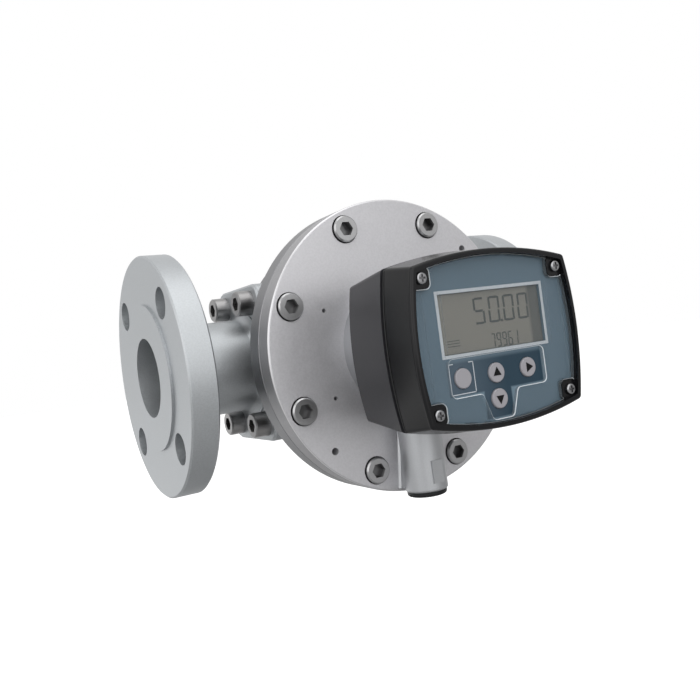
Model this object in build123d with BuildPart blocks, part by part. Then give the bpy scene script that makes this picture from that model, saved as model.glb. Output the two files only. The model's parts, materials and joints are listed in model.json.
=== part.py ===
"""Oval gear flow meter with pipe flanges on both sides and a digital readout.

Millimetres, +Z up. The pipe runs along X, and the meter's round cover and its
readout face -Y. The origin is the centre of the inlet flange's raised face.
"""

import math
import os

from build123d import *

os.makedirs("parts", exist_ok=True)

# Pipe flanges, raised face, four bolts astride the centre lines
face_to_centre = 138.6
pipe_bore_d = 50.0
flange_thickness = 16.7
raised_face_d = 92.1
raised_face_height = 1.6
flange_bolt_circle_d = 120.65
flange_bolt_hole_d = 19.05
flange_bolt_land = 6.35
flange_bolts = 4
flange_edge = 1.0

# Spools between the flanges and the body
neck_d = 60.4
neck_fillet = 5.0
neck_foot = 0.5
plate_thickness = 15.0
plate_depth = 69.0
plate_height = 101.6
plate_corner = 9.0
plate_edge = 1.4
plate_screw_spacing_y = 43.0
plate_screw_spacing_z = 78.4
spool_seal_width = 3.6
spool_seal_depth = 2.6
spool_seal_wall = 3.0

# Rotors
rotor_centres = 58.0
rotor_teeth = 10
pressure_angle = 20.0
oval_swing = 4.7
tooth_height = 5.2
flank_gap = 0.15
root_gap = 0.35
tip_gap = 0.15
end_gap = 0.15
flank_points = 6
solver_steps = 40
shaft_d = 14.0
shaft_gap = 0.05
bush_wall = 3.0
bush_length = 30.0
magnet_d = 8.0
magnet_depth = 5.0
magnet_circle_d = 42.0

# Body
chamber_depth = 102.0
back_wall = 12.0
body_wall = 9.5
body_port_d = 49.0
pad_span = 116.0
ring_thickness = 14.4
body_edge = 1.0
body_back_edge = 5.0
shaft_socket_depth = 7.0

# Cover
cover_reach = 81.0
cover_rim = 2.8
cover_thickness = 13.0
cover_edge = 1.0
cover_screws_count = 8
seal_to_screw = 2.9
counterbore_d = 17.2
counterbore_depth = 7.6
cover_socket_depth = 4.5
chamber_to_seal = 2.35
cover_seal_width = 3.8
cover_seal_depth = 2.8
jack_hole_d = 4.5
jack_hole_shift = 0.9
tag_hole_d = 2.5
tag_hole_depth = 8.0
tag_spacing_x = 103.8
tag_spacing_z = 52.4
sensor_well_d = 20.0
sensor_well_depth = 9.0

# Screws: shank, head, head height, key width, key depth
body_screw = (10.0, 16.0, 10.0, 8.0, 5.0)
adaptor_screw = (5.0, 8.5, 5.0, 4.0, 2.5)
small_screw = (3.0, 5.5, 3.0, 2.5, 1.5)
screw_gap = 0.1
head_edge_share = 0.08
seal_edge_share = 0.25
cover_screw_reach = 17.5
spool_screw_reach = 28.0
thread_runout = 2.0
adaptor_screw_reach = 11.0
housing_screw_reach = 11.0

# Terminal adaptor with its conduit entry
adaptor_d = 84.0
adaptor_depth = 25.0
adaptor_wall = 7.0
adaptor_floor = 3.0
adaptor_seal_rim = 1.8
adaptor_screw_shift = 5.0
adaptor_seal_width = 2.4
adaptor_seal_depth = 1.8
conduit_x = -4.7
conduit_offset = 12.7
conduit_boss_d = 26.2
conduit_rise = 1.8
conduit_hole_d = 19.0
conduit_edge = 1.6
conduit_reach = 10.5
web_top_half = 6.3
web_bottom_half = 10.8
web_top = 52.0
web_foot = 1.1
rating_pad_angle = 2.0
rating_pad_width = 7.6
rating_pad_rise = 5.2
rating_pad_length = 13.5
rating_pad_height = 0.5
plug_d = 24.2
plug_cap = 2.8
plug_round = 1.4
plug_stem = 12.0
plug_slot_width = 2.0
plug_slot_depth = 1.6
thread_gap = 0.1

# Sensor board in the adaptor
sensor_board_d = 50.0
sensor_board_thickness = 1.6
standoff_height = 3.0
standoff_d = 5.0
standoff_circle_d = 40.0
standoff_first_angle = 30.0
pickup_d = 6.0
pickup_spacing = 9.0
pickup_gap = 0.5
pickup_opening_d = 24.0
terminal_length = 22.0
terminal_width = 9.0
terminal_height = 9.0
terminal_ways = 4
terminal_hole_d = 3.0
terminal_hole_depth = 6.0
terminal_drop = 12.0

# Readout: housing, gaskets and bezel
readout_drop = 1.8
readout_corner_x = 51.2
readout_corner_z = 40.0
readout_bulge_x = 4.2
readout_bulge_z = 6.5
readout_corner_r = 2.5
joint_flare_x = 1.0
joint_flare_z = 2.2
flat_gasket = 1.0
housing_depth = 41.0
housing_taper_x = 3.8
housing_taper_z = 1.8
housing_wall = 3.0
housing_hole_d = 16.0
rim_gasket = 4.0
rim_gasket_inset = 1.5
rim_gasket_width = 3.5
rim_ridge_inset = 0.5
rim_ridge = 1.0
bezel_depth = 22.0
bezel_wall = 7.5
bezel_rim = 2.8
bezel_recess = 8.0
bezel_round = 1.6
bezel_lip = 2.4
post_x = 45.0
post_z = 34.1
post_d = 11.0
corner_pad = 10.6
corner_pad_r = 2.8
post_root = 14.0
post_bite = 0.6
post_block = 16.6
post_shift = 3.0
bezel_screw_d = 3.0
bezel_screw_reach = 34.0
bezel_head_d = 6.2
bezel_head_height = 1.9
head_clearance = 0.9
cross_width = 1.1
cross_length = 3.8
cross_depth = 1.0

# Face plate, lens, keys and liquid crystal display
face_thickness = 3.0
face_gap = 0.25
lens_thickness = 2.5
lens_relief = 0.3
lens_land = 0.8
lens_edge = 0.35
lens_rib_x = 46.4
lens_rib_length = 52.0
lens_rib_width = 0.8
lens_rib_height = 0.4
lcd_rise = 9.8
lcd_window_width = 69.2
lcd_window_height = 31.0
lcd_frame_bar = 1.6
lcd_frame_height = 0.5
lcd_frame_lug = 2.4
lcd_module_width = 75.4
lcd_module_height = 35.0
lcd_glass_gap = 0.3
lcd_glass_height = 1.5
board_gap = 5.0
board_width = 86.0
board_height = 60.0
board_corner = 8.0
board_thickness = 1.6
board_post_x = 40.2
board_post_z = 20.0
board_post_d = 4.4
board_screw = (2.0, 3.8, 1.6, 1.5, 0.8)
board_screw_reach = 5.0
key_d = 10.4
key_gap = 0.25
key_proud = 1.2
key_edge = 0.4
key_flange_d = 12.6
key_flange_thickness = 1.2
key_stem_d = 4.0
key_travel = 0.8
key_rest_gap = 0.1
switch_size = 5.0
switch_height = 1.5
key_pitch = 22.1
key_column_x = -3.3
key_row_z = -18.2
key_drop = 13.6
keypad_left = -34.6
keypad_right = 29.4
keypad_top = -7.9
keypad_bottom = -27.4
keypad_tab_top_half = 11.8
keypad_tab_bottom_half = 6.8
keypad_tab_bottom = -41.9
keypad_corner = 2.8

# Batteries on the back of the circuit board
cell_d = 14.5
cell_length = 50.5
cell_cap_d = 5.5
cell_cap = 1.2
cell_gap = 0.4
holder_wall = 1.5
holder_floor = 1.6
holder_depth = 13.0

# Two sizes closer than this count as the same
same_size = 0.01

# Places worked out along Y, from the pipe's axis towards the front
cover_front = -cover_reach
joint_y = cover_front + cover_thickness
ring_back = joint_y + ring_thickness
chamber_back = joint_y + chamber_depth
body_back = chamber_back + back_wall
adaptor_front = cover_front - adaptor_depth
housing_back = adaptor_front - flat_gasket
housing_front = housing_back - housing_depth
bezel_back = housing_front - rim_gasket
bezel_front = bezel_back - bezel_depth
face_back = bezel_front + bezel_recess
face_front = face_back - face_thickness
lens_front = face_front - lens_thickness
board_front = face_back + board_gap
board_back = board_front + board_thickness

# Sizes worked out from those above
pitch_radius = rotor_centres / 2
base_radius = pitch_radius * math.cos(math.radians(pressure_angle))
chamber_radius = pitch_radius + oval_swing + tooth_height / 2 + tip_gap
bush_d = shaft_d + 2 * shaft_gap + 2 * bush_wall
rotor_length = chamber_depth - 2 * end_gap
rotor_front = joint_y + end_gap
rotor_back = chamber_back - end_gap
pad_face = pad_span / 2
plate_x = face_to_centre - pad_face - plate_thickness
flange_back = raised_face_height + flange_thickness
body_screw_hole_d = body_screw[0] + 2 * screw_gap
flange_d = flange_bolt_circle_d + flange_bolt_hole_d + 2 * flange_bolt_land
seal_bore_r = pitch_radius + chamber_radius + chamber_to_seal
cover_seal_circle_d = 2 * seal_bore_r + cover_seal_width
cover_screw_circle_d = 2 * (seal_bore_r + cover_seal_width + seal_to_screw) + body_screw_hole_d
cover_d = cover_screw_circle_d + counterbore_d + 2 * cover_rim
jack_hole_circle_d = cover_screw_circle_d + 2 * jack_hole_shift
conduit_bottom = cover_d / 2 - conduit_rise
rating_pad_bottom = conduit_bottom - rating_pad_rise
rating_pad_top = rating_pad_bottom - rating_pad_length
adaptor_seal_circle_d = adaptor_d - adaptor_seal_width - 2 * adaptor_seal_rim
adaptor_screw_circle_d = adaptor_d - 2 * adaptor_wall - 2 * adaptor_screw_shift
sensor_z = pitch_radius - magnet_circle_d / 2
key_spots = {
    "enter_key": (key_column_x - key_pitch, key_row_z),
    "up_key": (key_column_x, key_row_z),
    "right_key": (key_column_x + key_pitch, key_row_z),
    "down_key": (key_column_x, key_row_z - key_drop),
}


def facing_front(y, z=0.0):
    """A plane across the meter at y, on its centre line, that faces -Y."""
    return Plane(origin=(face_to_centre, y, z), x_dir=(1, 0, 0), z_dir=(0, -1, 0))


def across_pipe(x):
    """A plane square to the pipe at x, with Y to the right and Z up."""
    return Plane(origin=(x, 0, 0), x_dir=(0, 1, 0), z_dir=(1, 0, 0))


def readout_plane(y):
    """A plane across the readout, on the readout's own centre line."""
    return facing_front(y, -readout_drop)


def save(piece, label):
    """Name a finished piece and write it to its own file."""
    piece.part.label = label
    export_step(piece.part, f"parts/{label}.step")


def corners(width, height):
    """The four corner points of a rectangle round its centre."""
    return [(sx * width / 2, sz * height / 2) for sx in (-1, 1) for sz in (-1, 1)]


def on_circle(diameter, count, first_angle):
    """Points spaced evenly round a circle."""
    angles = [math.radians(first_angle + 360 * i / count) for i in range(count)]
    return [(diameter / 2 * math.cos(a), diameter / 2 * math.sin(a)) for a in angles]


def socket_screws(seat, spots, size, reach):
    """Socket-head screws that sit on a plane, with their shanks behind it."""
    shank_d, head_d, head_height, key, key_depth = size
    with BuildPart() as screws:
        with BuildSketch(seat):
            with Locations(*spots):
                Circle(head_d / 2)
        extrude(amount=head_height)
        chamfer(screws.edges().group_by(Axis(seat.origin, seat.z_dir))[-1], head_height * head_edge_share)
        with BuildSketch(seat.offset(head_height)):
            with Locations(*spots):
                RegularPolygon(key / 2, 6, major_radius=False)
        extrude(amount=-key_depth, mode=Mode.SUBTRACT)
        with BuildSketch(seat):
            with Locations(*spots):
                Circle(shank_d / 2)
        extrude(amount=-reach)
    return screws


def seal_ring(seat, mean_d, width, depth):
    """A seal ring squeezed into a groove of that width and depth behind a plane."""
    with BuildPart() as seal:
        with BuildSketch(seat):
            Circle(mean_d / 2 + width / 2)
            Circle(mean_d / 2 - width / 2, mode=Mode.SUBTRACT)
        extrude(amount=-depth)
        chamfer(seal.edges(), width * seal_edge_share)
    return seal


# Rotor outline

def involute(angle):
    """The involute function of an angle in radians."""
    return math.tan(angle) - angle


def tooth_half_angle(radius):
    """Half the angle that a tooth fills at a radius, with a radial foot."""
    at_pitch = math.pi / (2 * rotor_teeth) - flank_gap / pitch_radius
    at_base = at_pitch + involute(math.radians(pressure_angle))
    return at_base - involute(math.acos(base_radius / max(radius, base_radius)))


def tip_radius(angle):
    """The oval that trims the teeth."""
    return pitch_radius + oval_swing * math.cos(2 * angle) + tooth_height / 2


def root_radius(angle):
    """The oval that the teeth stand on."""
    return tip_radius(angle) - tooth_height - root_gap


def meeting_radius(oval, middle, side):
    """The radius where one flank of the tooth at an angle meets an oval."""
    radius = oval(middle)
    for _ in range(solver_steps):
        radius = (radius + oval(middle + side * tooth_half_angle(radius))) / 2
    return radius


def polar_point(radius, angle):
    """A point of the outline, from its polar place."""
    return (radius * math.cos(angle), radius * math.sin(angle))


def flank(middle, side):
    """Points up one flank of the tooth at an angle, from root to tip."""
    low = meeting_radius(root_radius, middle, side)
    high = meeting_radius(tip_radius, middle, side)
    radii = [low + (high - low) * i / (flank_points - 1) for i in range(flank_points)]
    return [polar_point(r, middle + side * tooth_half_angle(r)) for r in radii]


def angle_of(point):
    """The polar angle of a point."""
    return math.atan2(point[1], point[0])


def middle_angle(first, last):
    """The angle halfway from one point to the next, going anticlockwise."""
    span = (angle_of(last) - angle_of(first)) % (2 * math.pi)
    return angle_of(first) + span / 2


def rotor_outline(turn):
    """Toothed oval, with its long axis turned from the sketch's X axis."""
    with BuildSketch(mode=Mode.PRIVATE) as outline:
        with BuildLine():
            for i in range(rotor_teeth):
                middle = 2 * math.pi * i / rotor_teeth
                rise = flank(middle, -1)
                fall = flank(middle, 1)
                following = flank(middle + 2 * math.pi / rotor_teeth, -1)[0]
                crown = middle_angle(rise[-1], fall[-1])
                valley = middle_angle(fall[0], following)
                Spline(*rise)
                ThreePointArc(rise[-1], polar_point(tip_radius(crown), crown), fall[-1])
                Spline(*reversed(fall))
                ThreePointArc(fall[0], polar_point(root_radius(valley), valley), following)
        make_face()
    return outline.sketch.rotate(Axis.Z, turn)


def rotor(centre_z, turn, magnet_spots):
    """A toothed oval rotor with its bore, and pockets for magnets in its front."""
    with BuildPart() as body:
        with BuildSketch(facing_front(rotor_back, centre_z)):
            add(rotor_outline(turn))
            Circle(bush_d / 2, mode=Mode.SUBTRACT)
        extrude(amount=rotor_length)
        if magnet_spots:
            with BuildSketch(facing_front(rotor_front, centre_z)):
                with Locations(*magnet_spots):
                    Circle(magnet_d / 2)
            extrude(amount=-magnet_depth, mode=Mode.SUBTRACT)
    return body


def rotor_bushes(centre_z):
    """Two plain bushes, one pressed into each end of a rotor."""
    with BuildPart() as bushes:
        for start in (rotor_back, rotor_front + bush_length):
            with BuildSketch(facing_front(start, centre_z)):
                Circle(bush_d / 2)
                Circle(shaft_d / 2 + shaft_gap, mode=Mode.SUBTRACT)
            extrude(amount=bush_length)
    return bushes


# Spools: a pipe flange, a neck and a square plate, welded together

with BuildPart() as inlet_flange:
    with BuildSketch(across_pipe(0)):
        Circle(raised_face_d / 2)
    extrude(amount=raised_face_height)
    with BuildSketch(across_pipe(raised_face_height)):
        Circle(flange_d / 2)
    extrude(amount=flange_thickness)
    rim_edges = inlet_flange.edges().filter_by(GeomType.CIRCLE)
    chamfer(rim_edges.filter_by(lambda e: abs(e.radius - flange_d / 2) < same_size), flange_edge)
    with BuildSketch(across_pipe(0)):
        Circle(pipe_bore_d / 2)
        with PolarLocations(flange_bolt_circle_d / 2, flange_bolts, start_angle=45):
            Circle(flange_bolt_hole_d / 2)
    extrude(amount=flange_back, mode=Mode.SUBTRACT)
save(inlet_flange, "inlet_flange")

with BuildPart() as inlet_neck:
    with BuildSketch(across_pipe(flange_back)):
        Circle(neck_d / 2)
    extrude(amount=plate_x - flange_back)
    for start in (flange_back, plate_x - neck_foot):
        with BuildSketch(across_pipe(start)):
            Circle(neck_d / 2 + neck_fillet + neck_foot)
        extrude(amount=neck_foot)
    neck_edges = inlet_neck.edges().filter_by(GeomType.CIRCLE)
    fillet(neck_edges.filter_by(lambda e: abs(e.radius - neck_d / 2) < same_size), neck_fillet)
    with BuildSketch(across_pipe(flange_back)):
        Circle(pipe_bore_d / 2)
    extrude(amount=plate_x - flange_back, mode=Mode.SUBTRACT)
save(inlet_neck, "inlet_neck")

with BuildPart() as inlet_plate:
    with BuildSketch(across_pipe(plate_x)):
        RectangleRounded(plate_depth, plate_height, plate_corner)
    extrude(amount=plate_thickness)
    chamfer(inlet_plate.edges().group_by(Axis.X)[0], plate_edge)
    with BuildSketch(across_pipe(plate_x)):
        Circle(pipe_bore_d / 2)
        with Locations(*corners(plate_screw_spacing_y, plate_screw_spacing_z)):
            Circle(body_screw_hole_d / 2)
    extrude(amount=plate_thickness, mode=Mode.SUBTRACT)
    with BuildSketch(across_pipe(plate_x + plate_thickness)):
        Circle(pipe_bore_d / 2 + spool_seal_wall + spool_seal_width)
        Circle(pipe_bore_d / 2 + spool_seal_wall, mode=Mode.SUBTRACT)
    extrude(amount=-spool_seal_depth, mode=Mode.SUBTRACT)
save(inlet_plate, "inlet_plate")

centre_plane = Plane.YZ.offset(face_to_centre)
with BuildPart() as outlet_flange:
    mirror(inlet_flange.part, about=centre_plane)
save(outlet_flange, "outlet_flange")

with BuildPart() as outlet_neck:
    mirror(inlet_neck.part, about=centre_plane)
save(outlet_neck, "outlet_neck")

with BuildPart() as outlet_plate:
    mirror(inlet_plate.part, about=centre_plane)
save(outlet_plate, "outlet_plate")

spool_seal_d = pipe_bore_d + 2 * spool_seal_wall + spool_seal_width
inlet_oring = seal_ring(
    across_pipe(face_to_centre - pad_face), spool_seal_d, spool_seal_width, spool_seal_depth
)
save(inlet_oring, "inlet_oring")

with BuildPart() as outlet_oring:
    mirror(inlet_oring.part, about=centre_plane)
save(outlet_oring, "outlet_oring")

plate_face = Plane(origin=(plate_x, 0, 0), x_dir=(0, -1, 0), z_dir=(-1, 0, 0))
inlet_screws = socket_screws(
    plate_face, corners(plate_screw_spacing_y, plate_screw_spacing_z), body_screw, spool_screw_reach
)
save(inlet_screws, "inlet_screws")

with BuildPart() as outlet_screws:
    mirror(inlet_screws.part, about=centre_plane)
save(outlet_screws, "outlet_screws")

# Meter body: an upright oval round the two rotors, with a round front flange and two side pads

with BuildPart() as meter_body:
    with BuildSketch(facing_front(body_back)):
        SlotCenterToCenter(rotor_centres, 2 * (chamber_radius + body_wall), rotation=90)
    extrude(amount=body_back - ring_back)
    fillet(meter_body.edges().group_by(Axis.Y)[-1], body_back_edge)
    with BuildSketch(across_pipe(face_to_centre - pad_face)):
        RectangleRounded(plate_depth, plate_height, plate_corner)
    extrude(amount=pad_span)
    with BuildSketch(facing_front(ring_back)):
        Circle(cover_d / 2)
    extrude(amount=ring_thickness)
    ring_edges = meter_body.edges().filter_by(GeomType.CIRCLE)
    chamfer(ring_edges.filter_by(lambda e: abs(e.radius - cover_d / 2) < same_size), body_edge)
    with BuildSketch(facing_front(chamber_back)):
        with Locations((0, pitch_radius), (0, -pitch_radius)):
            Circle(chamber_radius)
    extrude(amount=chamber_depth, mode=Mode.SUBTRACT)
    with BuildSketch(across_pipe(face_to_centre - pad_face)):
        Circle(body_port_d / 2)
    extrude(amount=pad_span, mode=Mode.SUBTRACT)
    with BuildSketch(facing_front(chamber_back)):
        with Locations((0, pitch_radius), (0, -pitch_radius)):
            Circle(shaft_d / 2)
    extrude(amount=-shaft_socket_depth, mode=Mode.SUBTRACT)
    with BuildSketch(facing_front(joint_y)):
        with PolarLocations(cover_screw_circle_d / 2, cover_screws_count, start_angle=22.5):
            Circle(body_screw_hole_d / 2)
    extrude(amount=-ring_thickness, mode=Mode.SUBTRACT)
    with BuildSketch(facing_front(joint_y)):
        Circle(cover_seal_circle_d / 2 + cover_seal_width / 2)
        Circle(cover_seal_circle_d / 2 - cover_seal_width / 2, mode=Mode.SUBTRACT)
    extrude(amount=-cover_seal_depth, mode=Mode.SUBTRACT)
    for side in (-1, 1):
        with BuildSketch(across_pipe(face_to_centre + side * pad_face)):
            with Locations(*corners(plate_screw_spacing_y, plate_screw_spacing_z)):
                Circle(body_screw_hole_d / 2)
        extrude(amount=-side * (spool_screw_reach - plate_thickness + thread_runout), mode=Mode.SUBTRACT)
save(meter_body, "meter_body")

cover_oring = seal_ring(
    facing_front(joint_y), cover_seal_circle_d, cover_seal_width, cover_seal_depth
)
save(cover_oring, "cover_oring")

# Shafts and rotors, one above the other, a quarter turn apart

with BuildPart() as rotor_shafts:
    with BuildSketch(facing_front(chamber_back + shaft_socket_depth)):
        with Locations((0, pitch_radius), (0, -pitch_radius)):
            Circle(shaft_d / 2)
    extrude(amount=shaft_socket_depth + chamber_depth + cover_socket_depth)
save(rotor_shafts, "rotor_shafts")

magnet_spots = [(-magnet_circle_d / 2, 0), (magnet_circle_d / 2, 0)]
upper_rotor = rotor(pitch_radius, 0, magnet_spots)
save(upper_rotor, "upper_rotor")

lower_rotor = rotor(-pitch_radius, 90, [])
save(lower_rotor, "lower_rotor")

upper_bushes = rotor_bushes(pitch_radius)
save(upper_bushes, "upper_bushes")

lower_bushes = rotor_bushes(-pitch_radius)
save(lower_bushes, "lower_bushes")

with BuildPart() as rotor_magnets:
    with BuildSketch(facing_front(rotor_front, pitch_radius)):
        with Locations(*magnet_spots):
            Circle(magnet_d / 2)
    extrude(amount=-magnet_depth)
save(rotor_magnets, "rotor_magnets")

# Cover

with BuildPart() as meter_cover:
    with BuildSketch(facing_front(joint_y)):
        Circle(cover_d / 2)
    extrude(amount=cover_thickness)
    chamfer(meter_cover.edges().group_by(Axis.Y)[0], cover_edge)
    with Locations(facing_front(cover_front)):
        with PolarLocations(cover_screw_circle_d / 2, cover_screws_count, start_angle=22.5):
            CounterBoreHole(body_screw_hole_d / 2, counterbore_d / 2, counterbore_depth)
        with PolarLocations(jack_hole_circle_d / 2, 2, start_angle=45):
            Hole(jack_hole_d / 2)
        with Locations(*corners(tag_spacing_x, tag_spacing_z)):
            Hole(tag_hole_d / 2, tag_hole_depth)
        with PolarLocations(adaptor_screw_circle_d / 2, 4, start_angle=45):
            Hole(adaptor_screw[0] / 2 + screw_gap, tag_hole_depth)
        with Locations((0, sensor_z)):
            Hole(sensor_well_d / 2, sensor_well_depth)
    with BuildSketch(facing_front(joint_y)):
        with Locations((0, pitch_radius), (0, -pitch_radius)):
            Circle(shaft_d / 2)
    extrude(amount=cover_socket_depth, mode=Mode.SUBTRACT)
save(meter_cover, "meter_cover")

cover_screws = socket_screws(
    facing_front(cover_front + counterbore_depth),
    on_circle(cover_screw_circle_d, cover_screws_count, 22.5),
    body_screw,
    cover_screw_reach,
)
save(cover_screws, "cover_screws")

# Terminal adaptor: a round box on the cover, with a conduit entry that points down

conduit_y = cover_front - conduit_offset
conduit_centre = face_to_centre + conduit_x
conduit_mouth = Plane(origin=(conduit_centre, conduit_y, -conduit_bottom))
web_bottom = conduit_bottom - conduit_edge
web_plane = Plane(origin=(conduit_centre, cover_front, 0), x_dir=(1, 0, 0), z_dir=(0, -1, 0))
wall_screw_spots = on_circle(adaptor_d - adaptor_wall, 4, 45)
adaptor_screw_spots = on_circle(adaptor_screw_circle_d, 4, 45)


def web_outline(spread):
    """The web's outline on the cover, wider by a spread on each side."""
    return Polygon(
        (-web_top_half - spread, -web_top),
        (web_top_half + spread, -web_top),
        (web_bottom_half + spread, -web_bottom),
        (-web_bottom_half - spread, -web_bottom),
        align=None,
    )


with BuildPart() as terminal_adaptor:
    with BuildSketch(conduit_mouth):
        Circle(conduit_boss_d / 2)
    extrude(amount=conduit_bottom)
    fillet(terminal_adaptor.edges().group_by(Axis.Z)[0], conduit_edge)
    with BuildSketch(conduit_mouth.offset(conduit_bottom - rating_pad_bottom)):
        with Locations(Rotation(0, 0, rating_pad_angle)):
            with Locations((0, -conduit_boss_d / 4 - rating_pad_height / 2)):
                Rectangle(rating_pad_width, conduit_boss_d / 2 + rating_pad_height)
    extrude(amount=rating_pad_bottom - rating_pad_top)
    with BuildSketch(web_plane):
        web_outline(0)
    extrude(amount=conduit_offset)
    with BuildSketch(web_plane):
        web_outline(web_foot)
    with BuildSketch(web_plane.offset(web_foot)):
        web_outline(0)
    loft()
    with BuildSketch(facing_front(cover_front)):
        Circle(cover_d / 2)
    extrude(amount=-cover_thickness, mode=Mode.SUBTRACT)
    with BuildSketch(facing_front(adaptor_front)):
        Circle(adaptor_d / 2)
    extrude(amount=cover_thickness, mode=Mode.SUBTRACT)
    with BuildSketch(facing_front(cover_front)):
        Circle(adaptor_d / 2)
    extrude(amount=adaptor_depth)
    with BuildSketch(facing_front(cover_front - adaptor_floor)):
        Circle(adaptor_d / 2 - adaptor_wall)
    extrude(amount=adaptor_depth, mode=Mode.SUBTRACT)
    with BuildSketch(conduit_mouth):
        Circle(conduit_hole_d / 2)
    extrude(amount=conduit_bottom - adaptor_d / 2 + conduit_reach, mode=Mode.SUBTRACT)
    with BuildSketch(facing_front(cover_front - adaptor_floor)):
        with PolarLocations(standoff_circle_d / 2, 3, start_angle=standoff_first_angle):
            Circle(standoff_d / 2)
    extrude(amount=standoff_height)
    with BuildSketch(facing_front(cover_front)):
        with Locations((0, sensor_z)):
            Circle(pickup_opening_d / 2)
        with Locations(*adaptor_screw_spots):
            Circle(adaptor_screw[0] / 2 + screw_gap)
    extrude(amount=adaptor_floor, mode=Mode.SUBTRACT)
    with BuildSketch(facing_front(cover_front)):
        Circle(adaptor_seal_circle_d / 2 + adaptor_seal_width / 2)
        Circle(adaptor_seal_circle_d / 2 - adaptor_seal_width / 2, mode=Mode.SUBTRACT)
    extrude(amount=adaptor_seal_depth, mode=Mode.SUBTRACT)
    with BuildSketch(facing_front(adaptor_front)):
        with Locations(*wall_screw_spots):
            Circle(small_screw[0] / 2 + screw_gap)
    extrude(amount=-housing_screw_reach, mode=Mode.SUBTRACT)
save(terminal_adaptor, "terminal_adaptor")

adaptor_back = Plane(origin=(face_to_centre, cover_front, 0), x_dir=(-1, 0, 0), z_dir=(0, 1, 0))
adaptor_oring = seal_ring(
    adaptor_back, adaptor_seal_circle_d, adaptor_seal_width, adaptor_seal_depth
)
save(adaptor_oring, "adaptor_oring")

adaptor_screws = socket_screws(
    facing_front(cover_front - adaptor_floor),
    adaptor_screw_spots,
    adaptor_screw,
    adaptor_screw_reach,
)
save(adaptor_screws, "adaptor_screws")

with BuildPart() as conduit_plug:
    with BuildSketch(conduit_mouth):
        Circle(plug_d / 2)
    extrude(amount=-plug_cap)
    fillet(conduit_plug.edges().group_by(Axis.Z)[0], plug_round)
    with BuildSketch(conduit_mouth):
        Circle(conduit_hole_d / 2 - thread_gap)
    extrude(amount=plug_stem)
    with BuildSketch(conduit_mouth.offset(-plug_cap)):
        Rectangle(plug_d, plug_slot_width)
    extrude(amount=plug_slot_depth, mode=Mode.SUBTRACT)
save(conduit_plug, "conduit_plug")

# Pick-up board inside the adaptor, over the cover's sensor well

board_seat = cover_front - adaptor_floor - standoff_height
with BuildPart() as sensor_board:
    with BuildSketch(facing_front(board_seat)):
        Circle(sensor_board_d / 2)
    extrude(amount=sensor_board_thickness)
save(sensor_board, "sensor_board")

with BuildPart() as pickup_sensors:
    with BuildSketch(facing_front(board_seat)):
        with Locations((-pickup_spacing / 2, sensor_z), (pickup_spacing / 2, sensor_z)):
            Circle(pickup_d / 2)
    extrude(amount=-(cover_front + sensor_well_depth - pickup_gap - board_seat))
save(pickup_sensors, "pickup_sensors")

with BuildPart() as terminal_block:
    with BuildSketch(facing_front(board_seat - sensor_board_thickness)):
        with Locations((0, -terminal_drop)):
            Rectangle(terminal_length, terminal_width)
    extrude(amount=terminal_height)
    with BuildSketch(facing_front(board_seat - sensor_board_thickness - terminal_height)):
        with Locations((0, -terminal_drop)):
            with GridLocations(terminal_length / terminal_ways, 0, terminal_ways, 1):
                Circle(terminal_hole_d / 2)
    extrude(amount=-terminal_hole_depth, mode=Mode.SUBTRACT)
save(terminal_block, "terminal_block")

# Readout housing, its gaskets and the bezel

post_spots = corners(2 * post_x, 2 * post_z)
small_radius = readout_corner_r / 4


def readout_outline(inset=0.0, inset_x=0.0, inset_z=0.0):
    """The readout's outline with four bowed sides, smaller by an inset."""
    x = readout_corner_x - inset - inset_x
    z = readout_corner_z - inset - inset_z
    with BuildSketch(mode=Mode.PRIVATE) as outline:
        with BuildLine():
            ThreePointArc((-x, -z), (0, -z - readout_bulge_z), (x, -z))
            ThreePointArc((x, -z), (x + readout_bulge_x, 0), (x, z))
            ThreePointArc((x, z), (0, z + readout_bulge_z), (-x, z))
            ThreePointArc((-x, z), (-x - readout_bulge_x, 0), (-x, -z))
        make_face()
        fillet(outline.vertices(), max(readout_corner_r - inset, small_radius))
    return outline.sketch


def joint_outline(inset=0.0):
    """The outline where housing and bezel meet, flared a little from the bezel's front."""
    return readout_outline(inset, -joint_flare_x, -joint_flare_z)


def corner_pads(gap=0.0, mode=Mode.ADD):
    """Rounded squares round the corner screws, wider by a gap on each side."""
    with Locations(*post_spots):
        RectangleRounded(corner_pad + 2 * gap, corner_pad + 2 * gap, corner_pad_r + gap, mode=mode)


with BuildPart() as adaptor_gasket:
    with BuildSketch(facing_front(adaptor_front)):
        Circle(adaptor_d / 2)
        Circle(adaptor_d / 2 - adaptor_wall, mode=Mode.SUBTRACT)
        with Locations(*wall_screw_spots):
            Circle(small_screw[0] / 2 + screw_gap, mode=Mode.SUBTRACT)
    extrude(amount=flat_gasket)
save(adaptor_gasket, "adaptor_gasket")

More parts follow.
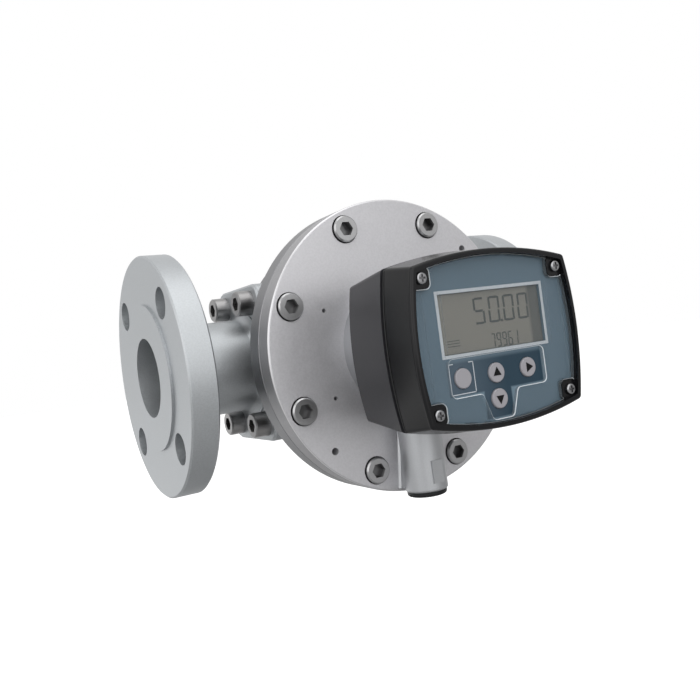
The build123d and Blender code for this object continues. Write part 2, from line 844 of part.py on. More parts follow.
with BuildPart() as display_housing:
    with BuildSketch(readout_plane(housing_back)):
        add(readout_outline(0, housing_taper_x, housing_taper_z))
    with BuildSketch(readout_plane(housing_front)):
        add(joint_outline())
    loft()
    with BuildSketch(readout_plane(housing_back - housing_wall)):
        add(readout_outline(housing_wall, housing_taper_x, housing_taper_z))
    with BuildSketch(readout_plane(housing_front)):
        add(joint_outline(housing_wall))
    loft(mode=Mode.SUBTRACT)
    with BuildSketch(readout_plane(housing_front)):
        with Locations(*corners(2 * (post_x + post_shift), 2 * (post_z + post_shift))):
            RectangleRounded(post_block, post_block, corner_pad_r)
        add(joint_outline(housing_wall - post_bite), mode=Mode.INTERSECT)
    extrude(amount=-post_root)
    with BuildSketch(readout_plane(housing_front)):
        with Locations(*post_spots):
            Circle(bezel_screw_d / 2 + screw_gap)
    extrude(amount=-post_root + housing_wall / 2, mode=Mode.SUBTRACT)
    with BuildSketch(facing_front(housing_back)):
        Circle(housing_hole_d / 2)
        with Locations(*wall_screw_spots):
            Circle(small_screw[0] / 2 + screw_gap)
    extrude(amount=housing_wall, mode=Mode.SUBTRACT)
save(display_housing, "display_housing")

housing_screws = socket_screws(
    facing_front(housing_back - housing_wall), wall_screw_spots, small_screw, housing_screw_reach
)
save(housing_screws, "housing_screws")

with BuildPart() as bezel_gasket:
    with BuildSketch(readout_plane(housing_front)):
        add(joint_outline(rim_gasket_inset))
        add(joint_outline(rim_gasket_inset + rim_gasket_width), mode=Mode.SUBTRACT)
        with Locations(*post_spots):
            Circle(post_d / 2)
        add(joint_outline(rim_gasket_inset), mode=Mode.INTERSECT)
        with Locations(*post_spots):
            Circle(bezel_screw_d / 2 + screw_gap, mode=Mode.SUBTRACT)
    extrude(amount=rim_gasket)
    with BuildSketch(readout_plane(housing_front - rim_gasket / 2 + rim_ridge / 2)):
        add(joint_outline(rim_ridge_inset))
        add(joint_outline(rim_gasket_inset + rim_gasket_width / 2), mode=Mode.SUBTRACT)
    extrude(amount=rim_ridge)
save(bezel_gasket, "bezel_gasket")

with BuildPart() as display_bezel:
    with BuildSketch(readout_plane(bezel_back)):
        add(joint_outline())
    with BuildSketch(readout_plane(bezel_front + bezel_lip)) as lip:
        add(readout_outline())
    loft()
    extrude(lip.sketch, amount=bezel_lip)
    fillet(display_bezel.edges().group_by(Axis.Y)[0], bezel_round)
    with BuildSketch(readout_plane(bezel_back)):
        add(readout_outline(bezel_wall))
        with Locations(*post_spots):
            Circle(post_d / 2, mode=Mode.SUBTRACT)
    extrude(amount=bezel_back - face_back, mode=Mode.SUBTRACT)
    with BuildSketch(readout_plane(face_back)):
        add(readout_outline(bezel_rim))
        corner_pads(mode=Mode.SUBTRACT)
    extrude(amount=face_back - lens_front, mode=Mode.SUBTRACT)
    with BuildSketch(readout_plane(lens_front)):
        add(readout_outline(bezel_rim))
        with Locations(*post_spots):
            Circle(bezel_head_d / 2 + head_clearance)
    extrude(amount=lens_front - bezel_front, mode=Mode.SUBTRACT)
    with BuildSketch(readout_plane(lens_front)):
        with Locations(*post_spots):
            Circle(bezel_screw_d / 2 + screw_gap)
    extrude(amount=-bezel_depth, mode=Mode.SUBTRACT)
save(display_bezel, "display_bezel")

with BuildPart() as bezel_screws:
    with BuildSketch(readout_plane(lens_front)):
        with Locations(*post_spots):
            Circle(bezel_head_d / 2)
    extrude(amount=bezel_head_height)
    fillet(bezel_screws.edges().group_by(Axis.Y)[0], bezel_head_height / 2)
    with BuildSketch(readout_plane(lens_front - bezel_head_height)):
        with Locations(*post_spots):
            Rectangle(cross_length, cross_width)
            Rectangle(cross_width, cross_length)
    extrude(amount=-cross_depth, mode=Mode.SUBTRACT)
    with BuildSketch(readout_plane(lens_front)):
        with Locations(*post_spots):
            Circle(bezel_screw_d / 2)
    extrude(amount=-bezel_screw_reach)
save(bezel_screws, "bezel_screws")

# Face plate and lens, with the openings for the screws, the keys and the liquid crystal display

keypad_right_tab = key_column_x + keypad_tab_top_half
keypad_left_tab = key_column_x - keypad_tab_top_half
board_posts = corners(2 * board_post_x, 2 * board_post_z)

with BuildPart() as face_plate:
    with BuildSketch(readout_plane(face_back)):
        add(readout_outline(bezel_rim + face_gap))
        corner_pads(face_gap, Mode.SUBTRACT)
        with Locations((0, lcd_rise)):
            Rectangle(lcd_window_width, lcd_window_height, mode=Mode.SUBTRACT)
        with Locations(*key_spots.values()):
            Circle(key_d / 2 + key_gap, mode=Mode.SUBTRACT)
    extrude(amount=face_thickness)
    with BuildSketch(readout_plane(face_back)):
        with Locations(*board_posts):
            Circle(board_post_d / 2)
    extrude(amount=-board_gap)
    with BuildSketch(readout_plane(board_front)):
        with Locations(*board_posts):
            Circle(board_screw[0] / 2 + screw_gap)
    extrude(amount=board_gap - face_gap, mode=Mode.SUBTRACT)
save(face_plate, "face_plate")

with BuildPart() as clear_lens:
    with BuildSketch(readout_plane(face_front)):
        add(readout_outline(bezel_rim + face_gap))
        corner_pads(face_gap, Mode.SUBTRACT)
        with BuildSketch(mode=Mode.PRIVATE) as keypad:
            Polygon(
                (keypad_left, keypad_top),
                (keypad_left, keypad_bottom),
                (keypad_left_tab, keypad_bottom),
                (key_column_x - keypad_tab_bottom_half, keypad_tab_bottom),
                (key_column_x + keypad_tab_bottom_half, keypad_tab_bottom),
                (keypad_right_tab, keypad_bottom),
                (keypad_right, keypad_bottom),
                (keypad_right, keypad_top),
                align=None,
            )
            fillet(keypad.vertices(), keypad_corner)
        add(keypad.sketch, mode=Mode.SUBTRACT)
    extrude(amount=lens_thickness)
    chamfer(clear_lens.edges().group_by(Axis.Y)[0], lens_edge)
    with BuildSketch(readout_plane(face_front)):
        add(readout_outline(bezel_rim + face_gap + lens_land))
        corner_pads(face_gap + lens_land, Mode.SUBTRACT)
    extrude(amount=lens_relief, mode=Mode.SUBTRACT)
    with BuildSketch(readout_plane(lens_front)):
        with Locations((0, lcd_rise)):
            Rectangle(lcd_window_width + 2 * lcd_frame_bar, lcd_window_height + 2 * lcd_frame_bar)
            Rectangle(lcd_window_width + 2 * lcd_frame_lug, lcd_frame_lug)
            Rectangle(lcd_window_width, lcd_window_height, mode=Mode.SUBTRACT)
    extrude(amount=lcd_frame_height)
    with BuildSketch(readout_plane(lens_front)):
        with Locations((-lens_rib_x, 0), (lens_rib_x, 0)):
            Rectangle(lens_rib_width, lens_rib_length)
    extrude(amount=lens_rib_height)
save(clear_lens, "clear_lens")

with BuildPart() as lcd_module:
    with BuildSketch(readout_plane(board_front)):
        with Locations((0, lcd_rise)):
            Rectangle(lcd_module_width, lcd_module_height)
    extrude(amount=board_gap)
    with BuildSketch(readout_plane(face_back)):
        with Locations((0, lcd_rise)):
            Rectangle(lcd_window_width - 2 * lcd_glass_gap, lcd_window_height - 2 * lcd_glass_gap)
    extrude(amount=lcd_glass_height)
save(lcd_module, "lcd_module")

# Push keys: a cap through the face plate, a flange behind it and a stem over a switch

flange_front = face_back + key_rest_gap
stem_end = board_front - switch_height - key_travel - key_rest_gap
for key_name, spot in key_spots.items():
    with BuildPart() as push_key:
        with BuildSketch(readout_plane(stem_end)):
            with Locations(spot):
                Circle(key_stem_d / 2)
        extrude(amount=stem_end - flange_front)
        with BuildSketch(readout_plane(flange_front + key_flange_thickness)):
            with Locations(spot):
                Circle(key_flange_d / 2)
        extrude(amount=key_flange_thickness)
        with BuildSketch(readout_plane(flange_front)):
            with Locations(spot):
                Circle(key_d / 2)
        extrude(amount=flange_front - face_front + key_proud)
        chamfer(push_key.edges().group_by(Axis.Y)[0], key_edge)
    save(push_key, key_name)

# Circuit board with its switches, screws and batteries

with BuildPart() as circuit_board:
    with BuildSketch(readout_plane(board_back)):
        RectangleRounded(board_width, board_height, board_corner)
        with Locations(*board_posts):
            Circle(board_screw[0] / 2 + screw_gap, mode=Mode.SUBTRACT)
    extrude(amount=board_thickness)
save(circuit_board, "circuit_board")

with BuildPart() as key_switches:
    with BuildSketch(readout_plane(board_front)):
        with Locations(*key_spots.values()):
            Rectangle(switch_size, switch_size)
    extrude(amount=switch_height)
save(key_switches, "key_switches")

board_rear = Plane(origin=(face_to_centre, board_back, -readout_drop), x_dir=(-1, 0, 0), z_dir=(0, 1, 0))
board_screws = socket_screws(board_rear, board_posts, board_screw, board_screw_reach)
save(board_screws, "board_screws")

cell_pitch = cell_d + cell_gap
holder_length = cell_length + cell_cap + 2 * holder_wall
holder_width = 2 * cell_pitch + cell_gap + 2 * holder_wall
with BuildPart() as battery_holder:
    with BuildSketch(board_rear):
        Rectangle(holder_length, holder_width)
    extrude(amount=holder_depth)
    with BuildSketch(board_rear.offset(holder_floor)):
        Rectangle(holder_length - 2 * holder_wall, holder_width - 2 * holder_wall)
    extrude(amount=holder_depth, mode=Mode.SUBTRACT)
save(battery_holder, "battery_holder")

cell_y = board_back + holder_floor + cell_gap / 2 + cell_d / 2
cell_start = face_to_centre - (cell_length + cell_cap) / 2
with BuildPart() as battery_cells:
    for side in (-1, 1):
        cell_z = side * cell_pitch / 2 - readout_drop
        with BuildSketch(Plane(origin=(cell_start, cell_y, cell_z), z_dir=(1, 0, 0))):
            Circle(cell_d / 2)
        extrude(amount=cell_length)
        with BuildSketch(Plane(origin=(cell_start + cell_length, cell_y, cell_z), z_dir=(1, 0, 0))):
            Circle(cell_cap_d / 2)
        extrude(amount=cell_cap)
save(battery_cells, "battery_cells")
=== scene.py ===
"""Looks, light and camera for the oval gear flow meter. Metres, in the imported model's frame."""

import json
import math

import bmesh
import bpy
from mathutils import Matrix, Vector


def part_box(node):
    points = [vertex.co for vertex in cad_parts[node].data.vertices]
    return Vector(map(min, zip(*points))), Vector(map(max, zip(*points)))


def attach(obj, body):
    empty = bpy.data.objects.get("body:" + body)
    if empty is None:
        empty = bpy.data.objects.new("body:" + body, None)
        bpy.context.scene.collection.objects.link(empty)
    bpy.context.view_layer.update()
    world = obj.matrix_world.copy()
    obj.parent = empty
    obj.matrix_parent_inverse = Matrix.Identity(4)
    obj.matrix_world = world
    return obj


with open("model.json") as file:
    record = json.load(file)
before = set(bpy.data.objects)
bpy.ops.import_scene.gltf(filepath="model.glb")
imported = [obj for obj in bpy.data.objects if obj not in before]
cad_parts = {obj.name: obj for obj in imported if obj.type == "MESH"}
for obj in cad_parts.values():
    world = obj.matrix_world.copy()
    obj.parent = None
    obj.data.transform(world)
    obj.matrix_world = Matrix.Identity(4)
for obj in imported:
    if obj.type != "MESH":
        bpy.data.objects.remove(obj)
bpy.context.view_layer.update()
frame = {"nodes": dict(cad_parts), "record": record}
scene = bpy.context.scene

# Camera, where the photograph was taken from

CAMERA_PLACE = (-0.1231, -0.4720, 0.0072)
CAMERA_YAW = math.radians(-29.787)
CAMERA_PITCH = math.radians(0.791)
CAMERA_ROLL = math.radians(-7.691)
SENSOR_WIDTH = 36.0
LENS_LENGTH = 38.63
NEAREST_SEEN = 0.01


def place_camera():
    """Looks at the meter from the front left, a little rolled."""
    back = Vector((
        math.sin(CAMERA_YAW) * math.cos(CAMERA_PITCH),
        -math.cos(CAMERA_YAW) * math.cos(CAMERA_PITCH),
        math.sin(CAMERA_PITCH),
    ))
    level = (-back).cross(Vector((0, 0, 1))).normalized()
    upright = level.cross(-back)
    right = math.cos(CAMERA_ROLL) * level + math.sin(CAMERA_ROLL) * upright
    above = math.cos(CAMERA_ROLL) * upright - math.sin(CAMERA_ROLL) * level
    data = bpy.data.cameras.new("photo_camera")
    data.sensor_width = SENSOR_WIDTH
    data.lens = LENS_LENGTH
    data.clip_start = NEAREST_SEEN
    camera = bpy.data.objects.new("photo_camera", data)
    turn = Matrix((right, above, back)).transposed().to_4x4()
    camera.matrix_world = Matrix.Translation(CAMERA_PLACE) @ turn
    scene.collection.objects.link(camera)
    scene.camera = camera


place_camera()
scene.view_settings.view_transform = "Standard"

# Places on the readout, worked out from the solids


def middle_of(node):
    """The middle of a solid's box."""
    low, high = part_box(node)
    return (Vector(low) + Vector(high)) / 2


def front_of(node):
    """The depth of a solid's front."""
    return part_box(node)[0][1]


LCD_MIDDLE = middle_of("lcd_module")
LCD_FRONT = front_of("lcd_module")
LCD_WIDTH = 0.0692
LCD_HEIGHT = 0.0310
LCD_LEFT = LCD_MIDDLE.x - LCD_WIDTH / 2
LCD_RIGHT = LCD_MIDDLE.x + LCD_WIDTH / 2
LCD_BOTTOM = LCD_MIDDLE.z - LCD_HEIGHT / 2
LCD_TOP = LCD_MIDDLE.z + LCD_HEIGHT / 2
FACE_FRONT = front_of("face_plate")

# The keypad's opening in the lens: a row of three keys, and a tab below it for the fourth

FIRST_KEY = middle_of("enter_key")
LOWER_KEY = middle_of("down_key")
ROOM_BY_KEY = 0.0092
ROOM_RIGHT_OF_KEYS = 0.0106
ROOM_BELOW_TAB = 0.0101
KEYPAD_BELOW_GLASS = 0.0020
KEYPAD_LEFT = FIRST_KEY.x - ROOM_BY_KEY
KEYPAD_RIGHT = middle_of("right_key").x + ROOM_RIGHT_OF_KEYS
KEYPAD_TOP = LCD_BOTTOM - KEYPAD_BELOW_GLASS
KEYPAD_BOTTOM = FIRST_KEY.z - ROOM_BY_KEY
TAB_BOTTOM = LOWER_KEY.z - ROOM_BELOW_TAB

# Shader maths. The Mix node gives sockets of several kinds one name, so its colour ones go by number

MIX_FACTOR = 0
MIX_FIRST = 6
MIX_SECOND = 7
MIX_COLOUR = 2


class Value:
    """A shader socket that takes part in ordinary arithmetic."""

    def __init__(self, tree, socket):
        self.tree = tree
        self.socket = socket

    def maths(self, operation, first, second):
        """One Math node on two numbers or values."""
        return self.tree.node("ShaderNodeMath", {"operation": operation}, {0: first, 1: second})

    def __add__(self, other):
        return self.maths("ADD", self, other)

    __radd__ = __add__

    def __sub__(self, other):
        return self.maths("SUBTRACT", self, other)

    def __rsub__(self, other):
        return self.maths("SUBTRACT", other, self)

    def __mul__(self, other):
        return self.maths("MULTIPLY", self, other)

    __rmul__ = __mul__

    def __truediv__(self, other):
        return self.maths("DIVIDE", self, other)

    def __rtruediv__(self, other):
        return self.maths("DIVIDE", other, self)

    def __pow__(self, other):
        return self.maths("POWER", self, other)

    def __rpow__(self, other):
        return self.maths("POWER", other, self)

    def __abs__(self):
        return self.maths("ABSOLUTE", self, 0)

    def greater(self, other):
        """The greater of this value and another."""
        return self.maths("MAXIMUM", self, other)

    def clamp(self, least, most):
        """This value, kept between two limits."""
        return self.tree.node("ShaderNodeClamp", {}, {"Value": self, "Min": least, "Max": most})

    def ramp(self, *stops):
        """Grey levels along this value, from (place, level) pairs."""
        return self.tree.node("ShaderNodeValToRGB", {"stops": stops}, {"Fac": self})

    def rise(self, start, width):
        """0 up to the start, and 1 from that width beyond it."""
        return ((self - start) / width).ramp((0, 0), (1, 1))

    def blend(self, first, second):
        """The first colour where this value is 0, and the second where it is 1."""
        ends = [end if isinstance(end, Value) else (*end, 1) for end in (first, second)]
        inputs = {MIX_FACTOR: self, MIX_FIRST: ends[0], MIX_SECOND: ends[1]}
        return self.tree.node("ShaderNodeMix", {"data_type": "RGBA"}, inputs, MIX_COLOUR)

    def outputs(self, *names):
        """Several outputs of the node that this value comes from."""
        return [Value(self.tree, self.socket.node.outputs[name]) for name in names]


class Tree:
    """The nodes of a material or of the world."""

    def __init__(self, owner):
        owner.use_nodes = True
        self.nodes = owner.node_tree.nodes
        self.links = owner.node_tree.links

    def node(self, kind, settings, inputs, output=0):
        """Adds any node, with its settings first and then its inputs, and gives one of its outputs."""
        made = self.nodes.new(kind)
        for name, value in settings.items():
            if name == "stops":
                set_stops(made.color_ramp, value)
            else:
                setattr(made, name, value)
        for name, value in inputs.items():
            self.set(made.inputs[name], value)
        return Value(self, made.outputs[output])

    def set(self, socket, value):
        """Gives a socket a number or colour, or links a value to it."""
        if isinstance(value, Value):
            self.links.new(value.socket, socket)
        else:
            socket.default_value = value

    def axes(self, coordinate="Object"):
        """The X, Y and Z of a coordinate."""
        vector = self.node("ShaderNodeTexCoord", {}, {}, coordinate)
        return self.node("ShaderNodeSeparateXYZ", {}, {"Vector": vector}).outputs("X", "Y", "Z")

    def rays(self):
        """1 for a ray from the camera, a ray off something glossy, and a ray through something clear."""
        kinds = ("Is Camera Ray", "Is Glossy Ray", "Is Transmission Ray")
        return self.node("ShaderNodeLightPath", {}, {}).outputs(*kinds)


def set_stops(ramp, stops):
    """Gives a colour ramp its stops, as (place, grey level) pairs."""
    while len(ramp.elements) < len(stops):
        ramp.elements.new(1.0)
    for element, (place, level) in zip(ramp.elements, stops):
        element.position = place
        element.color = (level, level, level, 1)


class Finish(Tree):
    """A material with one Principled shader."""

    def __init__(self, name, colour, roughness, metallic=0.0, specular=0.5):
        self.material = bpy.data.materials.new(name)
        super().__init__(self.material)
        self.shader = self.nodes["Principled BSDF"]
        self.give("Base Color", (*colour, 1))
        self.give("Roughness", roughness)
        self.give("Metallic", metallic)
        self.give("Specular IOR Level", specular)

    def give(self, name, value):
        """Sets or links one of the shader's inputs."""
        self.set(self.shader.inputs[name], value)

    def noise(self, size, detail):
        """Mottling from 0 to 1, with spots of about the given size in metres."""
        place = self.node("ShaderNodeTexCoord", {}, {}, "Object")
        return self.node(
            "ShaderNodeTexNoise", {}, {"Vector": place, "Scale": 1 / size, "Detail": detail}
        )

    def bump(self, height, relief):
        """Relief from a height between 0 and 1, that many metres deep."""
        inputs = {"Height": height, "Strength": 1.0, "Distance": relief}
        self.give("Normal", self.node("ShaderNodeBump", {}, inputs))


# Metal: castings, the cover and the screws

CLOUD_SIZE = 0.02
CLOUD_SHARE = 0.4
SPECK_START = 0.36
SPECK_WIDTH = 0.28
ROUGHNESS_SPREAD = 0.16
FINE_RELIEF = 0.00002
COVER_GREY = (0.61, 0.605, 0.625)
RIM_BRIGHTNESS = 0.58
COVER_CHAMFER = 0.0006
# Painted highlight: the paler colour of the line on the cover's chamfer
CHAMFER_HIGHLIGHT = (0.72, 0.72, 0.73)
CHAMFER_SOFT = 0.0001
SCREW_GRAIN = 0.0012
# Painted shade in the screws' drives: where it starts, and how dark the shaded colour is
DRIVE_SHADE_START = 0.35
DRIVE_SHADE_BRIGHTNESS = 0.38


def shade(colour, share):
    """A colour made lighter or darker."""
    return tuple(part * share for part in colour)


def mottled(name, colour, roughness, metallic, grain, mottle, relief):
    """Metal with fine specks over wide clouds: the finish, and its colour over the surface."""
    finish = Finish(name, colour, roughness, metallic)
    specks = finish.noise(grain, detail=3).rise(SPECK_START, SPECK_WIDTH)
    clouds = finish.noise(CLOUD_SIZE, detail=2)
    mottling = specks * (1 - CLOUD_SHARE) + clouds * CLOUD_SHARE
    finish.give("Roughness", mottling * ROUGHNESS_SPREAD + (roughness - ROUGHNESS_SPREAD / 2))
    finish.bump(specks, relief)
    return finish, mottling.blend(shade(colour, 1 - mottle), shade(colour, 1 + mottle))


def machined(name, colour, roughness, grain=0.0006, mottle=0.06, metallic=1.0):
    """Satin machined metal with a fine, even grain."""
    finish, colours = mottled(name, colour, roughness, metallic, grain, mottle, FINE_RELIEF)
    finish.give("Base Color", colours)
    return finish.material


def blasted_cover():
    """The cover's blasted metal, with a painted highlight line on its chamfer and a darker rim."""
    finish, face = mottled(
        "cover_metal", COVER_GREY, roughness=0.38, metallic=0.55, grain=0.0011, mottle=0.06, relief=0.000012
    )
    middle = middle_of("meter_cover")
    radius = middle.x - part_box("meter_cover")[0][0]
    across, _, up = finish.axes()
    side = across - middle.x
    height = up - middle.z
    reach = (side * side + height * height) ** 0.5
    # Painted highlight: a pale line of colour on the chamfer round the cover's edge
    chamfer = reach.rise(radius - COVER_CHAMFER, CHAMFER_SOFT)
    rim = reach.rise(radius - 2 * CHAMFER_SOFT, CHAMFER_SOFT)
    highlighted = chamfer.blend(face, CHAMFER_HIGHLIGHT)
    finish.give("Base Color", rim.blend(highlighted, shade(COVER_GREY, RIM_BRIGHTNESS)))
    return finish.material


def screw_metal(name, node, colour, roughness, deep):
    """Bright metal with painted shade below the front of the screws, in the drive and round the head."""
    finish = Finish(name, colour, roughness, metallic=1.0)
    _, depth, _ = finish.axes()
    # Painted shade: the colour darkens with depth behind the screw's front, in the drive and round the head
    below = depth.rise(front_of(node) + DRIVE_SHADE_START * deep, (1 - DRIVE_SHADE_START) * deep)
    finish.give("Base Color", below.blend(colour, shade(colour, DRIVE_SHADE_BRIGHTNESS)))
    finish.bump(finish.noise(SCREW_GRAIN, detail=3), FINE_RELIEF)
    return finish.material


# Plastic: the housing, the bezel and the small pieces

MOULD_GRAIN = 0.0005


def moulded(name, colour, roughness, relief=FINE_RELIEF, specular=0.5):
    """Moulded plastic with a fine leather-like grain."""
    finish = Finish(name, colour, roughness, specular=specular)
    finish.bump(finish.noise(MOULD_GRAIN, detail=1), relief)
    return finish.material


def plain(name, colour, roughness, metallic=0.0, specular=0.5):
    """One even finish."""
    return Finish(name, colour, roughness, metallic, specular).material


# The lens: a faint haze, a soft gloss, and a painted highlight of pale colour on its side walls and
# bevelled edges

LENS_GLOSS = (0.16, 0.20, 0.22)
LENS_TINT = (0.98, 0.99, 1.0, 1)
LENS_HIGHLIGHT_PALE = (0.86, 0.90, 0.93, 1)
LENS_HAZE = 0.13
LENS_SLANT_HAZE = 0.14
LENS_SLANT = 0.30
LENS_WALL_HIGHLIGHT = 0.10
LENS_BEVEL_HIGHLIGHT = 0.75
BEVEL_SHARPNESS = 8


def clear_plastic():
    """Clear moulded plastic over the face and the display, with a painted highlight on its walls and
    bevels.
    """
    finish = Finish("clear_plastic", LENS_GLOSS, roughness=0.10)
    gloss = Value(finish, finish.shader.outputs["BSDF"])
    through = finish.node("ShaderNodeBsdfTransparent", {}, {"Color": LENS_TINT})
    pale = finish.node("ShaderNodeBsdfDiffuse", {}, {"Color": LENS_HIGHLIGHT_PALE})
    slant = finish.node("ShaderNodeLayerWeight", {}, {"Blend": LENS_SLANT}, "Facing")
    haze = slant * LENS_SLANT_HAZE + LENS_HAZE
    # Painted highlight: pale colour on the side walls, and most of all on the bevels between the front and
    # the walls
    _, forwards, _ = finish.axes("Normal")
    flat = forwards * forwards
    bevelled = flat * (1 - flat) * 4
    walls = (1 - flat) * LENS_WALL_HIGHLIGHT
    painted_highlight = walls + bevelled ** BEVEL_SHARPNESS * (LENS_BEVEL_HIGHLIGHT - LENS_WALL_HIGHLIGHT / 2)
    clear = finish.node("ShaderNodeMixShader", {}, {0: haze, 1: through, 2: gloss})
    highlighted = finish.node("ShaderNodeMixShader", {}, {0: painted_highlight, 1: clear, 2: pale})
    finish.set(finish.nodes["Material Output"].inputs["Surface"], highlighted)
    return finish.material


# The face behind the lens, and the display's glass

FACE_BLUE = (0.165, 0.240, 0.298)
KEYPAD_SHEEN_BLUE = (0.072, 0.108, 0.145)
KEYPAD_DEEP_BLUE = (0.012, 0.042, 0.070)
SHEEN_FADE_FROM = 0.0064
SHEEN_FADE_OVER = 0.0320
PRINT_SOFT = 0.001
SHADOW_SOFT = 0.003
LCD_OLIVE = (0.36, 0.32, 0.26)
LCD_SHADED = (0.17, 0.155, 0.13)
LCD_SHADE_WIDTH = 0.009
LCD_SHADE_SOFT = 0.00225


def printed_face():
    """The grey-blue face, a darker blue in the keypad's opening, with a painted sheen that lightens the
    keypad's left and fades to deep blue at its right.
    """
    finish = Finish("printed_face", FACE_BLUE, roughness=0.30)
    across, _, up = finish.axes()
    row = (
        across.rise(KEYPAD_LEFT - PRINT_SOFT / 2, PRINT_SOFT)
        * (KEYPAD_RIGHT - across).rise(-PRINT_SOFT / 2, PRINT_SOFT)
        * up.rise(KEYPAD_BOTTOM, PRINT_SOFT)
    )
    tab = (
        (ROOM_BY_KEY - abs(across - LOWER_KEY.x)).rise(-PRINT_SOFT / 2, PRINT_SOFT)
        * up.rise(TAB_BOTTOM, PRINT_SOFT)
    )
    opening = row.greater(tab) * (KEYPAD_TOP - up).rise(0, SHADOW_SOFT)
    # Painted sheen: the keypad is lighter at its left and fades to its deep blue towards the right
    sheen_fade = across.rise(KEYPAD_LEFT + SHEEN_FADE_FROM, SHEEN_FADE_OVER)
    keypad = sheen_fade.blend(KEYPAD_SHEEN_BLUE, KEYPAD_DEEP_BLUE)
    finish.give("Base Color", opening.blend(FACE_BLUE, keypad))
    return finish.material


def display_glass():
    """The display's olive-grey glass, darker at the right where the bezel shades it."""
    finish = Finish("display_glass", LCD_OLIVE, roughness=0.25)
    across, _, _ = finish.axes()
    shaded = across.rise(LCD_RIGHT - LCD_SHADE_WIDTH, LCD_SHADE_SOFT)
    finish.give("Base Color", shaded.blend(LCD_OLIVE, LCD_SHADED))
    return finish.material


# Every slot's finish, and the solids dressed in them

FINISHES = {
    "body_metal": machined("body_metal", colour=(0.27, 0.27, 0.28), roughness=0.42),
    "cover_metal": blasted_cover(),
    "spool_metal": machined(
        "spool_metal", colour=(0.48, 0.50, 0.515), roughness=0.44, grain=0.0009, mottle=0.09, metallic=0.8
    ),
    "adaptor_metal": machined("adaptor_metal", colour=(0.50, 0.51, 0.525), roughness=0.42),
    "rotor_metal": machined("rotor_metal", colour=(0.62, 0.62, 0.63), roughness=0.35),
    "shaft_steel": plain("shaft_steel", colour=(0.60, 0.60, 0.60), roughness=0.25, metallic=1.0),
    "bright_screw": screw_metal(
        "bright_screw", "cover_screws", colour=(0.42, 0.42, 0.425), roughness=0.30, deep=0.0025
    ),
    "bezel_screw": screw_metal(
        "bezel_screw", "bezel_screws", colour=(0.36, 0.36, 0.37), roughness=0.20, deep=0.0012
    ),
    "dark_screw": machined("dark_screw", colour=(0.34, 0.335, 0.335), roughness=0.34),
    "seal_rubber": plain("seal_rubber", colour=(0.025, 0.025, 0.025), roughness=0.7),
    "rim_rubber": plain("rim_rubber", colour=(0.012, 0.012, 0.013), roughness=0.6),
    "bush_carbon": plain("bush_carbon", colour=(0.06, 0.06, 0.065), roughness=0.5),
    "magnet_metal": plain("magnet_metal", colour=(0.55, 0.55, 0.55), roughness=0.25, metallic=1.0),
    "plug_black": moulded("plug_black", colour=(0.010, 0.011, 0.012), roughness=0.40, specular=0.3),
    "housing_plastic": moulded("housing_plastic", colour=(0.026, 0.026, 0.030), roughness=0.42),
    "bezel_plastic": moulded(
        "bezel_plastic", colour=(0.006, 0.006, 0.007), roughness=0.22, relief=0.000005, specular=0.3
    ),
    "face_blue": printed_face(),
    "lens_clear": clear_plastic(),
    "lcd_grey": display_glass(),
    "key_grey": plain("key_grey", colour=(0.37, 0.36, 0.385), roughness=0.5),
    "board_green": plain("board_green", colour=(0.02, 0.14, 0.06), roughness=0.35),
    "part_black": plain("part_black", colour=(0.03, 0.03, 0.03), roughness=0.45),
    "cell_wrap": plain("cell_wrap", colour=(0.10, 0.20, 0.35), roughness=0.3),
    "terminal_plastic": plain("terminal_plastic", colour=(0.05, 0.28, 0.12), roughness=0.4),
}

slot_of = {part["node"]: part["material_slot"] for part in frame["record"]["subparts"]}
for node_name, node in frame["nodes"].items():
    for slot in node.material_slots:
        slot.material = FINISHES[slot_of[node_name]]

# Thin printed pieces on the readout

METER = "meter"
MARK_THICKNESS = 0.00012


def add_object(mesh, name, material):
    """Turns a bmesh into an object with one material."""
    data = bpy.data.meshes.new(name)
    mesh.to_mesh(data)
    mesh.free()
    data.materials.append(material)
    made = bpy.data.objects.new(name, data)
    scene.collection.objects.link(made)
    return made


def add_piece(mesh, name, material, body=METER):
    """Turns a bmesh into a piece that rides on a body."""
    bmesh.ops.recalc_face_normals(mesh, faces=mesh.faces)
    piece = add_object(mesh, name, material)
    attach(piece, body)


def add_bar(mesh, back, left, right, bottom, top):
    """A thin flat bar that stands on the surface at that depth."""
    size = (right - left, MARK_THICKNESS, top - bottom)
    middle = ((left + right) / 2, back - MARK_THICKNESS / 2, (bottom + top) / 2)
    corners = bmesh.ops.create_cube(mesh, size=1.0)["verts"]
    bmesh.ops.scale(mesh, vec=size, verts=corners)
    bmesh.ops.translate(mesh, vec=middle, verts=corners)


# Numerals of seven bars each, lettered clockwise from the top, with the middle one last

SEGMENTS = {
    "0": "abcdef",
    "1": "bc",
    "2": "abdeg",
    "3": "abcdg",
    "4": "bcfg",
    "5": "acdfg",
    "6": "acdefg",
    "7": "abc",
    "8": "abcdefg",
    "9": "abcdfg",
}
DIGIT_LEAN = 0.05
POINT_GAP_IN_STROKES = 0.4
POINT_SIZE_IN_STROKES = 1.1


def segment(letter, width, height, stroke):
    """Left, right, bottom and top of one bar of a numeral, in its own frame."""
    half = height / 2
    gap = stroke / 3
    at_left = (0, stroke)
    at_right = (width - stroke, width)
    between = (stroke, width - stroke)
    lower = (gap, half - gap)
    upper = (half + gap, height - gap)
    bars = {
        "a": (*between, height - stroke, height),
        "b": (*at_right, *upper),
        "c": (*at_right, *lower),
        "d": (*between, 0, stroke),
        "e": (*at_left, *lower),
        "f": (*at_left, *upper),
        "g": (*between, half - stroke / 2, half + stroke / 2),
    }
    return bars[letter]


